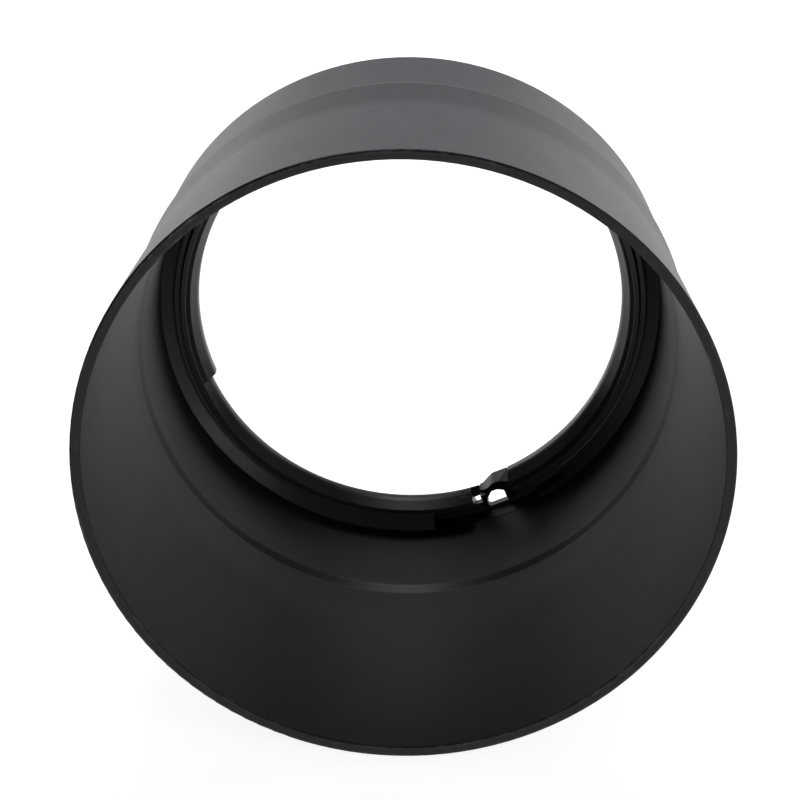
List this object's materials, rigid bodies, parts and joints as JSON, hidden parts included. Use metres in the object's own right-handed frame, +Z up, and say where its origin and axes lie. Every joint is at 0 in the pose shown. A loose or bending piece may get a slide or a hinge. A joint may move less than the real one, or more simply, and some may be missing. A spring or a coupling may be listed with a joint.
{
  "type": "bayonet lens hood",
  "caption": "Tapered open tube light shade with a wide flat-rimmed mouth and a glossy bayonet mount ring with lugs and a sprung click at its narrow end.",
  "frame": {"origin": "on the tube's axis, in the plane of the mount ring's rear face", "axes": "+Y along the axis from the mouth out through the mount end, towards the lens; +Z up; the mouth opens towards -Y"},
  "size_m": [0.092, 0.0588, 0.092],
  "materials": {
    "barrel_plastic": "fine matte black, moulded texture",
    "ring_plastic": "semi-gloss black, smooth moulded",
    "click_plastic": "semi-gloss black, smooth moulded"
  },
  "bodies": {
    "hood": {"hood_barrel": "barrel_plastic", "bayonet_ring": "ring_plastic"},
    "click": {"click_spring": "click_plastic"}
  },
  "joints": [
    {"name": "click_travel", "type": "slide", "parent": "hood", "child": "click", "axis": [0.3875, 0, -0.9219], "range_m": [0, 0.0006], "stiffness_N_per_m": 4000}
  ]
}
